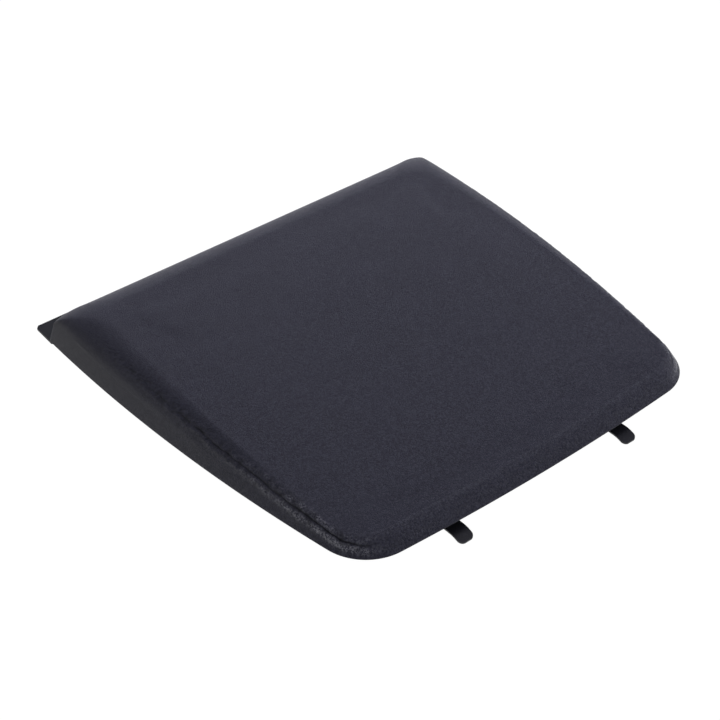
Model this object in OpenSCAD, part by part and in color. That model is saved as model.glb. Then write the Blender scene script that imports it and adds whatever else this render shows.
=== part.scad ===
// Clip-on padded armrest: a wedge-shaped leatherette pad on a dished base with a rear flange.
// Two sprung tongues hook in at the narrow end, and two screws from below hold the wide end.
// Millimetres. X is across, +Y points to the wide end, +Z is up, and Z = 0 is under the feet.

/* [Pad outline] */
// Width of the cover's lower edge at the wide end
wide_w = 236; // [220:1:250]
// Width of the cover's lower edge at the narrow end, as if its corners were sharp
narrow_w = 204; // [194:1:216]
// Length of the cover, from the line through its narrow corners to its wide end
pad_len = 221; // [205:1:240]
// How far each long side bows outward
side_bow = 6.5; // [2:0.5:9]
// How far the narrow end bows outward
narrow_bow = 4; // [1:0.5:6]
// Plan radius of the narrow corners, at the lower edge
narrow_r = 21; // [16:1:26]
// Plan radius of the wide corners, at the lower edge
wide_r = 3; // [2:0.5:6]

/* [Pad section] */
// Height of the cover at the narrow end
narrow_h = 5; // [5:0.5:7]
// Height of the cover at the wide end
wide_h = 23; // [20:0.5:26]
// How far the top rises above a straight wedge at mid length
top_crown = 3.5; // [1:0.5:4]
// Thickness of the cover
skin_t = 1.2; // [1:0.1:1.4]
// Width of the hem that turns under at the lower edge
hem_w = 12; // [11.5:0.5:12.5]
// Thickness of the foam over the carrier's dome at the wide end
foam_t = 8; // [6:0.5:9]

/* [Base and feet] */
// Depth of the dished base below the cover's lower edge
dish_depth = 10.5; // [10.5:0.5:12]
// Distance from the cover's edge to the dish wall
dish_inset = 14; // [14:0.5:15]
// Thickness of the base's rim and flange
rim_t = 1.2; // [1.2:0.1:1.8]
// How far the flange sticks out behind the wide end
flange_d = 12.5; // [10:0.5:15]
// How far the rubber feet stand below the base
foot_h = 3; // [2.5:0.5:4]

/* [Tongues] */
// Distance between the tongues, centre to centre
tongue_pitch = 101; // [90:1:110]
// Width of each tongue
tongue_w = 8.4; // [7:0.2:10]
// Thickness of the spring strip
tongue_t = 0.8; // [0.6:0.1:0.9]
// How far the tips reach past the line through the narrow corners
tongue_reach = 8.3; // [6:0.1:9]
// Depth of the tongue's upper face below the cover's edge
tongue_drop = 5.8; // [5.6:0.1:6]

/* [Fixings] */
// Distance between the threaded inserts, centre to centre
insert_pitch = 120; // [100:2:130]
// Radius of the threaded bore, at the thread's crests
insert_bore_r = 2.5; // [2:0.1:2.6]
// Depth of the threaded bore
insert_bore_l = 9; // [7:0.5:9]

/* [Hidden] */
$fn = 48;

// Levels and places that several pieces share
edge_z = foot_h + dish_depth;           // the cover's lower edge
floor_t = 2;                            // the dish's floor
dish_floor = floor_t - dish_depth;      // its upper face, from the cover's edge
wall_t = 2;                             // the dish's wall
mid_y = (pad_len + flange_d - tongue_reach) / 2;

// Rolled edge of the cover: lean of the wall, width of the roll, and its share of the height
lean_n = 2.2;
lean_w = 2.4;
roll_narrow = 8;
roll_side_n = 3.2;
roll_side_w = 17.8;
roll_wide = 21.4;
share_narrow = 0.8;
share_side_n = 0.74;
share_side_w = 0.42;
share_wide = 0.78;
top_r_n = 16;                           // corner radii of the top's edge
top_r_w = 14;
edge_n = [8, 18, 2, 18];                // points along the narrow end, a side, the wide end, a side
corner_n = 6;                           // steps round each corner
ring_n = edge_n * [1, 1, 1, 1] + 4 * (corner_n - 1);
roll_angles = [0, 15, 30, 45, 60, 75, 90];
ring_gap = 0.15;                        // least height between the inner face's rings

// ---- Plan outline: a bowed trapezoid with rounded corners, at any inset ----

function mix(a, b, t) = a + (b - a) * t;
function out_normal(p, q) = [q.y - p.y, p.x - q.x] / norm(q - p);
function bow_point(p, q, sag, t) = mix(p, q, t) + 4 * sag * t * (1 - t) * out_normal(p, q);
function bow_dir(p, q, sag, t) = q - p + 4 * sag * (1 - 2 * t) * out_normal(p, q);
function meet(a, u, b, v) = a + u * cross(b - a, v) / cross(u, v);
function tan_half(u, v) = abs(cross(u, v)) / (norm(u) * norm(v) + u * v);
function turn_weight(u, v) = sqrt((1 + u * v / (norm(u) * norm(v))) / 2);
function arc_point(a, m, b, w, t) =
    let (ka = (1 - t) * (1 - t), km = 2 * w * t * (1 - t), kb = t * t)
    (ka * a + km * m + kb * b) / (ka + km + kb);

// Half width of the lower edge at a distance y along the pad
function bulge(y) = 4 * side_bow * (y / pad_len) * (1 - y / pad_len);
function half_w(y, in_n, in_w) =
    mix(narrow_w / 2 - in_n, wide_w / 2 - in_w, y / pad_len) + bulge(y);

// in_narrow, in_n, in_w, in_wide: insets at the narrow end, at each end of the sides, at the wide end
function ring(in_narrow, in_n, in_w, in_wide, r_n, r_w) =
    let (y_n = in_narrow,
         y_w = pad_len - in_wide,
         x_n = half_w(y_n, in_n, in_w),
         x_w = half_w(y_w, in_n, in_w),
         bow_n = narrow_bow * pow(2 * x_n / narrow_w, 2),
         bow_s = side_bow * pow((y_w - y_n) / pad_len, 2),
         y_c = y_n - narrow_bow + bow_n,
         c = [[-x_n, y_c], [x_n, y_c], [x_w, y_w], [-x_w, y_w]],
         sag = [bow_n, bow_s, 0, bow_s],
         r = [r_n, r_n, r_w, r_w],
         cut = [for (i = [0:3]) r[i] / tan_half(c[(i + 3) % 4] - c[i], c[(i + 1) % 4] - c[i])])
    [for (i = [0:3])
        let (k = (i + 1) % 4, p = c[i], q = c[k], q2 = c[(i + 2) % 4],
             t0 = cut[i] / norm(q - p),
             t1 = 1 - cut[k] / norm(q - p),
             t2 = cut[k] / norm(q2 - q),
             a = bow_point(p, q, sag[i], t1),
             u = bow_dir(p, q, sag[i], t1),
             b = bow_point(q, q2, sag[k], t2),
             v = bow_dir(q, q2, sag[k], t2),
             m = meet(a, u, b, v),
             w = turn_weight(u, v))
        each concat(
            [for (j = [0:edge_n[i] - 1]) bow_point(p, q, sag[i], mix(t0, t1, j / (edge_n[i] - 1)))],
            [for (j = [1:corner_n - 1]) arc_point(a, m, b, w, j / corner_n)])];

// A ring at one inset all round
function even_ring(inset, r_n, r_w) = ring(inset, inset, inset, inset, r_n, r_w);

// How much each point of a ring belongs to the narrow end, the sides and the wide end
edge_kind = [[1, 0, 0], [0, 1, 0], [0, 0, 1], [0, 1, 0]];
kinds = [for (i = [0:3]) each concat(
    [for (j = [0:edge_n[i] - 1]) edge_kind[i]],
    [for (j = [1:corner_n - 1]) mix(edge_kind[i], edge_kind[(i + 1) % 4], j / corner_n)])];

// ---- Cover surface: rings that climb the rolled edge ----

function along(y) = min(1, max(0, y / pad_len));
function top_h(y) =
    let (s = along(y)) mix(narrow_h, wide_h, s) + 4 * top_crown * s * (1 - s);
function roll_share(kind, y) =
    kind * [share_narrow, mix(share_side_n, share_side_w, along(y)), share_wide];

// One ring of the rolled edge at a roll angle, moved inwards by off
function roll_ring(angle, off) =
    let (c = 1 - cos(angle), side = off * cos(angle), up = off * sin(angle),
         plan = ring(lean_n + roll_narrow * c + side, lean_n + roll_side_n * c + side,
                     lean_w + roll_side_w * c + side, lean_w + roll_wide * c + side,
                     mix(narrow_r, top_r_n, angle / 90), mix(wide_r, top_r_w, angle / 90)))
    [for (i = [0:ring_n - 1])
        let (p = plan[i], h = top_h(p.y),
             z = h * (1 - roll_share(kinds[i], p.y) * (1 - sin(angle))) - up)
        [p.x, p.y, off > 0 ? max(z, off + ring_gap * (1 + angle / 15)) : z]];

function flat_ring(plan, z) = [for (p = plan) [p.x, p.y, z]];

// The cover is pulled straight from the lower edge to where it first touches the roll
function slope(a, b) = (b.z - a.z) / norm([b.x - a.x, b.y - a.y]);
function first_touch(edge, rings, j) =
    let (slopes = [for (r = rings) slope(edge[j], r[j])], steepest = max(slopes))
    [for (k = [0:len(rings) - 1]) if (slopes[k] == steepest) k][0];
function taut(edge, rings) =
    let (touch = [for (j = [0:ring_n - 1]) first_touch(edge, rings, j)])
    [for (k = [0:len(rings) - 1]) [for (j = [0:ring_n - 1])
        k < touch[j] ? mix(edge[j], rings[touch[j]][j], (k + 1) / (touch[j] + 1)) : rings[k][j]]];

function backwards(list) = [for (i = [len(list) - 1:-1:0]) list[i]];

// A closed solid through a stack of rings; its ends are strips between mirrored points
module loft(rings) {
    n = ring_n;
    last = (len(rings) - 1) * n;
    mirror_sum = edge_n[0] - 1;
    half = edge_n[0] / 2;
    walls = [for (i = [0:len(rings) - 2]) for (j = [0:n - 1])
        let (a = i * n + j, b = i * n + (j + 1) % n, c = b + n, d = a + n)
        each [[a, d, c], [a, c, b]]];
    strips = [for (j = [half:half + n / 2 - 2])
        [j % n, (j + 1) % n, (mirror_sum - 1 - j + n) % n, (mirror_sum - j + n) % n]];
    bottom = [for (s = strips) each [[s[0], s[1], s[2]], [s[0], s[2], s[3]]]];
    top = [for (s = strips)
        each [[last + s[2], last + s[1], last + s[0]], [last + s[3], last + s[2], last + s[0]]]];
    polyhedron(points = [for (r = rings) each r], faces = concat(walls, bottom, top));
}

// The cover's outer face and its inner face, each from the lower edge up to the top
lower_edge = flat_ring(even_ring(0, narrow_r, wide_r), 0);
outer_rings = concat([lower_edge], taut(lower_edge, [for (a = roll_angles) roll_ring(a, 0)]));
inner_rings = concat([flat_ring(ring(skin_t + lean_n, skin_t + lean_n, skin_t + 0.2, skin_t + 0.2,
                                     narrow_r - 2, wide_r), skin_t)],
                     [for (a = roll_angles) roll_ring(a, skin_t)]);

// Everything below is placed from the middle of the part's length and from the cover's edge
module at_edge() {
    translate([0, -mid_y, edge_z]) children();
}

module plate(outline, z, t) {
    translate([0, 0, z]) linear_extrude(t) polygon(outline);
}

// A bar with a side profile given as [y, z] points, as wide as w, centred on X
module side_bar(profile, w) {
    rotate([90, 0, 90]) translate([0, 0, -w / 2]) linear_extrude(w) polygon(profile);
}

// ---- Soft parts ----

// One surface: down the inner face, round the hem and up the outer face
module cover_skin() {
    hem = even_ring(hem_w, 12, 8);
    color("#26262b") at_edge()
        loft(concat(backwards(inner_rings), [flat_ring(hem, skin_t), flat_ring(hem, 0)], outer_rings));
}

carrier_t = 2.2;
rim_top = skin_t + carrier_t;
dome_inset = 16;
dome_start = 45;
dome_end = pad_len - dome_inset;
dome_slope = (wide_h - foam_t - rim_top) / (dome_end - dome_start);

function carrier_plan() = ring(8, 6.5, 6.5, 7, 15, 6);
function dome_plan(more) = even_ring(dome_inset + more, 12, 8);
function dome_z(y) = rim_top + dome_slope * (y - dome_start);
function dome_profile(drop) = [
    [dome_start - 20, -1], [dome_start - 20, dome_z(dome_start - 20) - drop],
    [pad_len, dome_z(pad_len) - drop], [pad_len, -1]];

// The dome's outer shape, or its hollow when it is shrunk by the carrier's thickness
module dome_form(shrink) {
    intersection() {
        plate(dome_plan(shrink), -0.5, wide_h);
        side_bar(dome_profile(shrink), wide_w);
    }
}

// One surface: over the carrier's dome and rim, then up the cover's inner face
module foam_pad() {
    dome = dome_plan(0);
    dome_ring = [for (p = dome) [p.x, p.y, max(dome_z(p.y), rim_top + ring_gap)]];
    color("#d8c9a0") at_edge()
        loft(concat([dome_ring, flat_ring(dome, rim_top), flat_ring(carrier_plan(), rim_top),
                     flat_ring(carrier_plan(), skin_t)], inner_rings));
}

// ---- Carrier ----

screw_spots = [[-84, 32], [84, 32], [0, 26], [-94, 120], [94, 120], [-95, 195], [95, 195], [0, 195]];
boss_r = 4;
seat_rise = 2;                          // the dish's screw seats stand this much above its floor
boss_foot = dish_floor + seat_rise;     // the carrier's bosses stand on the screw seats
screw_r = 1.75;
screw_l = 11;
rib_t = 1.6;
rib_xs = [-76, -38, 0, 38, 76];
rib_ys = [85, 125, 165];

module carrier_ribs() {
    for (x = rib_xs)
        translate([x - rib_t / 2, 0, skin_t]) cube([rib_t, pad_len, wide_h]);
    for (y = rib_ys)
        translate([-wide_w / 2, y - rib_t / 2, skin_t]) cube([wide_w, rib_t, wide_h]);
}

module carrier_shell() {
    color("#3c3f42") at_edge() difference() {
        union() {
            plate(carrier_plan(), skin_t, carrier_t);
            dome_form(0);
        }
        difference() {
            dome_form(carrier_t);
            carrier_ribs();
            for (s = screw_spots)
                translate([s.x, s.y, -1]) cylinder(r = boss_r, h = wide_h);
        }
        translate([-wide_w / 2, -20, -2]) cube([wide_w, pad_len + 40, 2 + skin_t]);
        for (s = screw_spots)
            translate([s.x, s.y, -1]) cylinder(r = screw_r, h = 1 + screw_top());
    }
    color("#3c3f42") at_edge() for (s = screw_spots) carrier_boss(s);
}

function screw_top() = boss_foot - seat_t + screw_l;

module carrier_boss(s) {
    translate([s.x, s.y, boss_foot]) difference() {
        cylinder(r = boss_r, h = skin_t - boss_foot);
        translate([0, 0, -1]) cylinder(r = screw_r, h = skin_t - boss_foot + 2);
    }
}

// ---- Base plate ----

seat_t = 1.6;                           // floor left under each screw's head
head_r = 3.4;
head_h = 2;
clear_r = 2;                            // clearance hole for a base screw
insert_y = 190;
insert_r = 4.2;
insert_boss_r = 6.6;
flange_taper = 1;
flange_corner = 1.5;
foot_spots = [[-72, 56], [72, 56], [-80, 172], [80, 172]];
foot_hole_r = 2.5;
root_y = 24;                            // the tongues' hinge line
root_l = 10;
root_w = 14;
root_gap = 0.4;
root_rise = 2;                          // the root lies this much above the tongue's visible run
keeper_t = 2;
cheek_w = 8;
slot_half = tongue_w / 2 + 0.5;
shoulder_w = root_w / 2 + root_gap - slot_half;

run_z = -tongue_drop;                   // upper face of the tongue's run
root_z = run_z + root_rise;             // upper face of its root
keeper_z = root_z + root_gap;           // underside of the keeper

function dish_plan(more) = even_ring(dish_inset + more, 12, 8);

module flange_form() {
    x = wide_w / 2;
    tip = x - flange_taper;
    back = pad_len + flange_d;
    plate([[-x + 3, pad_len - 6], [x - 3, pad_len - 6], [x - 0.3, pad_len - 3],
           [tip, back - flange_corner], [tip - flange_corner, back],
           [-tip + flange_corner, back], [-tip, back - flange_corner], [-x + 0.3, pad_len - 3]],
          -rim_t, rim_t);
}

module tongue_seat(x) {
    for (side = [-1, 1])
        translate([x + side * (root_w / 2 + root_gap + cheek_w / 2), root_y, dish_floor - 0.5])
            linear_extrude(keeper_z - dish_floor + 0.5) square([cheek_w, root_l + 2], center = true);
    translate([x, root_y, dish_floor - 0.5])
        linear_extrude(root_z - tongue_t - root_gap - dish_floor + 0.5)
            square([root_w + 2, root_l + 2], center = true);
    translate([x, root_y + root_l / 2 + root_gap + 1, dish_floor - 0.5])
        linear_extrude(keeper_z - dish_floor + 0.5)
            square([root_w + 2 * cheek_w, 2], center = true);
    for (side = [-1, 1])
        translate([x + side * (slot_half + shoulder_w / 2), root_y - root_l / 2 - root_gap - 1,
                   dish_floor - 0.5])
            linear_extrude(keeper_z - dish_floor + 0.5) square([shoulder_w, 2], center = true);
}

module tongue_window(x) {
    low = run_z - tongue_t - 1.2;
    translate([x - slot_half, dish_inset - narrow_bow - 2, low])
        cube([2 * slot_half, wall_t + 5, run_z + 1.2 - low]);
}

module base_body() {
    plate(even_ring(lean_n, narrow_r - 2, wide_r), -rim_t, rim_t);
    flange_form();
    plate(dish_plan(0), -dish_depth, dish_depth);
}

module base_plate() {
    color("#2b2c2e") at_edge() difference() {
        union() {
            difference() {
                base_body();
                plate(dish_plan(wall_t), dish_floor, dish_depth);
            }
            for (s = screw_spots)
                translate([s.x, s.y, -dish_depth]) cylinder(r = boss_r + 1.5, h = boss_foot + dish_depth);
            for (x = [-insert_pitch / 2, insert_pitch / 2])
                translate([x, insert_y, -dish_depth]) cylinder(r = insert_boss_r, h = dish_depth - 0.3);
            for (x = [-tongue_pitch / 2, tongue_pitch / 2]) tongue_seat(x);
        }
        for (s = screw_spots) translate([s.x, s.y, -dish_depth - 1]) {
            cylinder(r = head_r + 0.3, h = 1 + boss_foot + dish_depth - seat_t);
            cylinder(r = clear_r, h = dish_depth + 2);
        }
        for (x = [-insert_pitch / 2, insert_pitch / 2])
            translate([x, insert_y, -dish_depth - 1]) cylinder(r = insert_r, h = insert_bore_l + 1);
        for (s = foot_spots)
            translate([s.x, s.y, -dish_depth - 1]) cylinder(r = foot_hole_r, h = floor_t + 2);
        for (x = [-tongue_pitch / 2, tongue_pitch / 2]) {
            tongue_window(x);
            keeper_holes(x);
        }
    }
}

// ---- Tongues, their keepers and screws ----

pilot_r = 1;
keeper_screw_x = root_w / 2 + root_gap + cheek_w / 2;
keeper_screw_l = 5;

module keeper_holes(x) {
    for (side = [-1, 1])
        translate([x + side * keeper_screw_x, root_y, keeper_z - keeper_screw_l])
            cylinder(r = pilot_r, h = 3 * keeper_screw_l, $fn = 24);
}

// The strip's upper face as [y, z]: root, step down, level run, bent tip
tip_len = 7.5;                          // length of the bent tip
tip_fall = 1.8;                         // how far the tip falls over that length
bend_n = 8;
tip_r = 2.6;
step_a = root_y - root_l / 2 - 0.5;
step_b = step_a - 5;
function ease(t) = t * t * (3 - 2 * t);
function tongue_line() = concat(
    [[root_y + root_l / 2, root_z]],
    [for (i = [0:bend_n]) [mix(step_a, step_b, i / bend_n), mix(root_z, run_z, ease(i / bend_n))]],
    [for (i = [0:bend_n])
        let (t = i / bend_n, fall = t < 0.5 ? t * t : t - 0.25)
        [mix(tip_len - tongue_reach, -tongue_reach, t), run_z - tip_fall * fall / 0.75]]);
function lowered(line, t) = [for (p = line) [p[0], p[1] - t]];

module tongue_plan() {
    union() {
        translate([-root_w / 2, root_y - root_l / 2]) square([root_w, root_l]);
        translate([-tongue_w / 2, tip_r - tongue_reach])
            square([tongue_w, root_y + tongue_reach - tip_r]);
        translate([tip_r - tongue_w / 2, -tongue_reach]) square([tongue_w - 2 * tip_r, tip_r + 1]);
        for (side = [-1, 1])
            translate([side * (tongue_w / 2 - tip_r), tip_r - tongue_reach]) circle(r = tip_r);
    }
}

module hook_tongue(x) {
    color("#1f2022") at_edge() translate([x, 0, 0]) intersection() {
        side_bar(concat(tongue_line(), backwards(lowered(tongue_line(), tongue_t))), 2 * root_w);
        translate([0, 0, -dish_depth]) linear_extrude(dish_depth) tongue_plan();
    }
}

module left_hook_tongue() { hook_tongue(-tongue_pitch / 2); }

module right_hook_tongue() { hook_tongue(tongue_pitch / 2); }

module tongue_keeper(x) {
    color("#515559") at_edge() translate([x, root_y, keeper_z]) difference() {
        linear_extrude(keeper_t) square([root_w + 2 * cheek_w, root_l + 2], center = true);
        for (side = [-1, 1])
            translate([side * keeper_screw_x, 0, -1]) cylinder(r = pilot_r + 0.3, h = keeper_t + 2);
    }
}

module left_tongue_keeper() { tongue_keeper(-tongue_pitch / 2); }

module right_tongue_keeper() { tongue_keeper(tongue_pitch / 2); }

// A pan-head screw with a cross recess; its head's underside is at z = 0 and it points down
module screw(shank_r, length, pan_r, pan_h) {
    recess = pan_r * 0.9;
    difference() {
        union() {
            cylinder(r = pan_r, h = pan_h * 0.7);
            translate([0, 0, pan_h * 0.7]) cylinder(r1 = pan_r, r2 = pan_r * 0.75, h = pan_h * 0.3);
            translate([0, 0, -length]) cylinder(r = shank_r, h = length + 0.1);
        }
        for (turn = [0, 90])
            rotate([0, 0, turn]) translate([-recess / 2, -pan_r / 8, pan_h * 0.45])
                cube([recess, pan_r / 4, pan_h]);
    }
}

module tongue_keeper_screws() {
    color("#8b8f94") at_edge()
        for (x = [-tongue_pitch / 2, tongue_pitch / 2], side = [-1, 1])
            translate([x + side * keeper_screw_x, root_y, keeper_z + keeper_t])
                screw(pilot_r, keeper_t + keeper_screw_l - 1, 2, 1.4, $fn = 24);
}

module base_screws() {
    color("#8b8f94") at_edge() for (s = screw_spots)
        translate([s.x, s.y, boss_foot - seat_t]) mirror([0, 0, 1])
            screw(screw_r, screw_l, head_r, head_h);
}

// ---- Staples, inserts, feet and felt ----

staple_w = 10;
staple_leg = 3.4;
wire_t = 0.6;
wire_w = 1.2;
staple_inset = 9.8;

module staple() {
    translate([-staple_w / 2, -wire_w / 2, 0]) cube([staple_w, wire_w, wire_t]);
    for (x = [-staple_w / 2, staple_w / 2 - wire_t])
        translate([x, -wire_w / 2, 0]) cube([wire_t, wire_w, staple_leg]);
}

// Where each side of a ring starts in its list of points
function edge_start(i) = i == 0 ? 0 : edge_start(i - 1) + edge_n[i - 1] + corner_n - 1;

// Five staples along each side of the hem
module hem_staples() {
    path = even_ring(staple_inset, 14, 8);
    color("#b4b7ba") at_edge() for (side = [0:3], share = [0.1:0.2:0.9])
        let (f = edge_start(side) + share * (edge_n[side] - 1), k = floor(f),
             a = path[k], b = path[k + 1], p = mix(a, b, f - k))
        translate([p.x, p.y, 0]) rotate([0, 0, atan2(b.y - a.y, b.x - a.x)]) staple();
}

module rear_inserts() {
    color("#b5954f") at_edge() for (x = [-insert_pitch / 2, insert_pitch / 2])
        translate([x, insert_y, -dish_depth]) difference() {
            cylinder(r = insert_r, h = insert_bore_l);
            translate([0, 0, -1]) cylinder(r = insert_bore_r, h = insert_bore_l + 2);
        }
}

// A push-in rubber foot: a domed pad below the floor and a barbed stem through it
module foot(spot) {
    pad_r = 7;
    stem_r = foot_hole_r;
    barb_r = 3.3;
    top = floor_t + 3.5;
    color("#141416") at_edge() translate([spot.x, spot.y, -dish_depth]) rotate_extrude()
        polygon([[0, -foot_h], [pad_r - 1.5, -foot_h], [pad_r - 0.5, 0.6 - foot_h], [pad_r, 0],
                 [stem_r, 0], [stem_r, floor_t], [barb_r, floor_t], [stem_r - 1, top], [0, top]]);
}

module front_left_foot() { foot(foot_spots[0]); }

module front_right_foot() { foot(foot_spots[1]); }

module rear_left_foot() { foot(foot_spots[2]); }

module rear_right_foot() { foot(foot_spots[3]); }

felt_t = 1.2;
felt_w = 7;

module felt_strip(y, length) {
    corner = 1;
    color("#4a4b4f") at_edge() translate([0, y, -rim_t - felt_t]) linear_extrude(felt_t) union() {
        square([length, felt_w - 2 * corner], center = true);
        square([length - 2 * corner, felt_w], center = true);
        for (sx = [-1, 1], sy = [-1, 1])
            translate([sx * (length / 2 - corner), sy * (felt_w / 2 - corner)])
                circle(r = corner, $fn = 16);
    }
}

module flange_felt_strip() { felt_strip(pad_len + flange_d / 2 + 0.5, 200); }

module front_felt_strip() { felt_strip(3, 62); }

cover_skin();
foam_pad();
carrier_shell();
base_plate();
left_hook_tongue();
right_hook_tongue();
left_tongue_keeper();
right_tongue_keeper();
tongue_keeper_screws();
base_screws();
hem_staples();
rear_inserts();
front_left_foot();
front_right_foot();
rear_left_foot();
rear_right_foot();
flange_felt_strip();
front_felt_strip();
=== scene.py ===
"""Looks for the clip-on padded armrest: a leatherette cover with pulled creases, its foam and felt,
and procedural materials for the moulded, metal and rubber parts. Lengths are in metres unless a name
or comment says millimetres; the cover's construction is in millimetres, as in the part's source."""

import math

import bpy
import numpy as np
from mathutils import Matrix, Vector


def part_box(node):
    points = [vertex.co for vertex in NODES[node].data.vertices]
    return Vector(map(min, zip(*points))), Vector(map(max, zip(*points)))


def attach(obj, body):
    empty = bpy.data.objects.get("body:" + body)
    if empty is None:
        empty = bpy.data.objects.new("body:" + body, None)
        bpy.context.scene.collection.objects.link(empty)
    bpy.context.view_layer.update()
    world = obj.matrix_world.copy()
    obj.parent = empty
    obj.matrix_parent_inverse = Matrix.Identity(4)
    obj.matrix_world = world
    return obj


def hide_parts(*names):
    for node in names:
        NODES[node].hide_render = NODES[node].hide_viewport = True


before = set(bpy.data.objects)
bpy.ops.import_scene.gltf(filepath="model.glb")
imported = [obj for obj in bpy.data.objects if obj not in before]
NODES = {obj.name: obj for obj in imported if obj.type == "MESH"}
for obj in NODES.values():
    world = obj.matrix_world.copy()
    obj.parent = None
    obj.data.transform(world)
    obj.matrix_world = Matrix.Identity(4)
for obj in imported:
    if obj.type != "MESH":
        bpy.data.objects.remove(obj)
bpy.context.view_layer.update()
MM = 0.001

# ---------------------------------------------------------------- the pad's driving dimensions, in mm

WIDE_W, NARROW_W, PAD_LEN = 236.0, 204.0, 221.0
SIDE_BOW, NARROW_BOW = 6.5, 4.0
NARROW_R, TOP_R_N = 21.0, 16.0
WIDE_R, TOP_R_W = 3.0, 14.0
NARROW_H, WIDE_H, TOP_CROWN = 5.0, 23.0, 3.5
LEAN_N, LEAN_W = 2.2, 2.4
ROLL_NARROW, ROLL_SIDE_N, ROLL_SIDE_W, ROLL_WIDE = 8.0, 3.2, 17.8, 21.4
SHARE_NARROW, SHARE_SIDE_N, SHARE_SIDE_W, SHARE_WIDE = 0.8, 0.74, 0.42, 0.78
SKIN_T, HEM_W = 1.2, 12.0
SKIN_LO, SKIN_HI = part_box("cover_skin")
EDGE = Vector((0, SKIN_HI.y - PAD_LEN * MM, SKIN_LO.z))     # the cover's lower edge, in the row frame


def mix(a, b, t):
    return a + (b - a) * t


def smooth(lo, hi, x):
    """0 below lo, 1 above hi, and an S-curve between."""
    t = np.clip((np.asarray(x, float) - lo) / (hi - lo), 0, 1)
    return t * t * (3 - 2 * t)


# ---------------------------------------------------------------- plan outline


class Layout:
    """How many points go on each stretch of a ring. A ring starts at the middle of the narrow left
    corner and runs along the narrow end, the right side, the wide end and the left side."""

    def __init__(self, corner_n, corner_w, narrow, side):
        wide = narrow + corner_n - corner_w
        self.edges = [narrow, side, wide, side]
        self.corners = [corner_n, corner_w, corner_w, corner_n]
        self.across = narrow + corner_n
        self.along = side + (corner_n + corner_w) // 2
        self.count = 2 * (self.across + self.along)
        self.breaks = [0]
        for i in range(4):
            self.breaks += [self.breaks[-1] + self.corners[i - 1] // 2]
            self.breaks += [self.breaks[-1] + self.edges[i]]
            self.breaks += [self.breaks[-1] + self.corners[i] // 2]


def out_normal(p, q):
    d = q - p
    return np.array([d[1], -d[0]]) / np.hypot(*d)


def cross(u, v):
    return u[0] * v[1] - u[1] * v[0]


def half_w(y, in_n, in_w):
    bulge = 4 * SIDE_BOW * (y / PAD_LEN) * (1 - y / PAD_LEN)
    return mix(NARROW_W / 2 - in_n, WIDE_W / 2 - in_w, y / PAD_LEN) + bulge


def ring(layout, in_narrow, in_n, in_w, in_wide, r_n, r_w):
    """A bowed trapezoid with rounded corners, inset from the cover's lower edge."""
    y_n, y_w = in_narrow, PAD_LEN - in_wide
    x_n, x_w = half_w(y_n, in_n, in_w), half_w(y_w, in_n, in_w)
    bow_n = NARROW_BOW * (2 * x_n / NARROW_W) ** 2
    bow_s = SIDE_BOW * ((y_w - y_n) / PAD_LEN) ** 2
    y_c = y_n - NARROW_BOW + bow_n
    c = [np.array(p) for p in ((-x_n, y_c), (x_n, y_c), (x_w, y_w), (-x_w, y_w))]
    sag = [bow_n, bow_s, 0.0, bow_s]
    cut = []
    for i, r in enumerate([r_n, r_n, r_w, r_w]):
        u, v = c[i - 1] - c[i], c[(i + 1) % 4] - c[i]
        cut.append(r * (np.hypot(*u) * np.hypot(*v) + u @ v) / abs(cross(u, v)))

    def bow(i, t):
        p, q, t = c[i], c[(i + 1) % 4], np.asarray(t, float)[:, None]
        return mix(p, q, t) + 4 * sag[i] * t * (1 - t) * out_normal(p, q)

    def direction(i, t):
        p, q = c[i], c[(i + 1) % 4]
        return q - p + 4 * sag[i] * (1 - 2 * t) * out_normal(p, q)

    def span(i):
        length = np.hypot(*(c[(i + 1) % 4] - c[i]))
        return cut[i] / length, 1 - cut[(i + 1) % 4] / length

    def corner(i, t):
        """The rounded corner at the end of edge i."""
        k = (i + 1) % 4
        t1, t2 = span(i)[1], span(k)[0]
        a, b = bow(i, [t1])[0], bow(k, [t2])[0]
        u, v = direction(i, t1), direction(k, t2)
        m = a + u * cross(b - a, v) / cross(u, v)
        w = math.sqrt((1 + u @ v / (np.hypot(*u) * np.hypot(*v))) / 2)
        t = np.asarray(t, float)[:, None]
        ka, km, kb = (1 - t) ** 2, 2 * w * t * (1 - t), t * t
        return (ka * a + km * m + kb * b) / (ka + km + kb)

    parts = []
    for i in range(4):
        before, after = layout.corners[i - 1], layout.corners[i]
        parts.append(corner((i - 1) % 4, np.arange(before // 2, before) / before))
        parts.append(bow(i, mix(*span(i), np.arange(layout.edges[i]) / layout.edges[i])))
        parts.append(corner(i, np.arange(after // 2) / after))
    return np.vstack(parts)


KIND_SPREAD = 0.012                                          # share of a ring, past each corner


def kinds(layout):
    """How much each point of a ring belongs to the narrow end, the sides and the wide end."""
    kind = np.array([[1, 0, 0], [0, 1, 0], [0, 0, 1], [0, 1, 0]], float)
    parts = []
    for i in range(4):
        before, after = layout.corners[i - 1], layout.corners[i]
        t = (np.arange(before // 2, before) / before)[:, None]
        parts.append(mix(kind[i - 1], kind[i], t))
        parts.append(np.tile(kind[i], (layout.edges[i], 1)))
        t = (np.arange(after // 2) / after)[:, None]
        parts.append(mix(kind[i], kind[(i + 1) % 4], t))
    share, reach = np.vstack(parts), round(layout.count * KIND_SPREAD)
    weights = np.hanning(2 * reach + 3)[1:-1]
    wide = np.vstack([share[-reach:], share, share[:reach]])
    total = sum(w * wide[i:i + layout.count] for i, w in enumerate(weights))
    return total / weights.sum()


# ---------------------------------------------------------------- cover surface


def along(y):
    return np.clip(y / PAD_LEN, 0, 1)


def top_h(y):
    s = along(y)
    return mix(NARROW_H, WIDE_H, s) + 4 * TOP_CROWN * s * (1 - s)


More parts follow.
